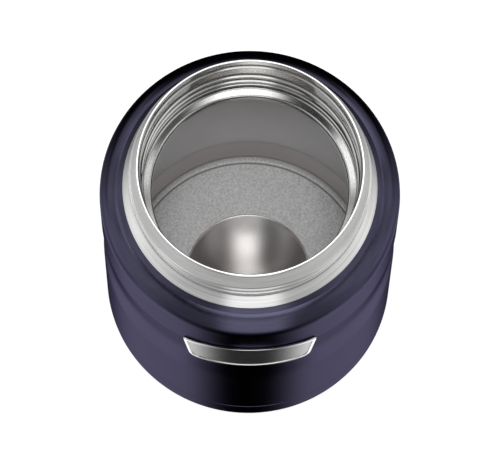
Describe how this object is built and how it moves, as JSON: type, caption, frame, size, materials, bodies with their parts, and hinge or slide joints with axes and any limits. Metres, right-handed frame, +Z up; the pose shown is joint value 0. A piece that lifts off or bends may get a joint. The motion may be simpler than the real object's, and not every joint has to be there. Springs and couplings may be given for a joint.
{
  "type": "insulated food jar",
  "caption": "Open vacuum-insulated steel food jar with a lacquered waisted body, bare rolled neck, inner stopper thread, sealing ledge, dished vessel floor and a plain curved badge.",
  "frame": {"origin": "centre of the foot circle on the table, which is the bottom centre of the jar", "axes": "+Z points up out of the mouth along the jar's axis, -Y is the front with the badge, +X is to the right seen from the front"},
  "size_m": [0.094, 0.0948, 0.12],
  "materials": {
    "lacquered_steel": "midnight blue translucent lacquer with a satin gloss over brushed stainless steel",
    "vessel_steel": "turned and electropolished stainless steel, fine satin, frosted on the floor",
    "shield_foil": "bright rolled foil",
    "getter_metal": "dark sintered metal",
    "spring_steel": "rolled strip",
    "seal_glass": "fused brown sealing glass",
    "cover_steel": "linear brushed stainless steel",
    "badge_steel": "polished border round a finely brushed panel",
    "adhesive_foam": "black closed-cell adhesive foam"
  },
  "bodies": {
    "root": {"outer_shell": "lacquered_steel", "outer_base": "lacquered_steel", "liner_body": "vessel_steel", "liner_base": "vessel_steel", "heat_shield": "shield_foil", "shield_disc": "shield_foil", "getter_pellet": "getter_metal", "getter_clip": "spring_steel", "vacuum_seal": "seal_glass", "seal_cover": "cover_steel", "badge_plate": "badge_steel", "badge_pad": "adhesive_foam"}
  },
  "joints": []
}
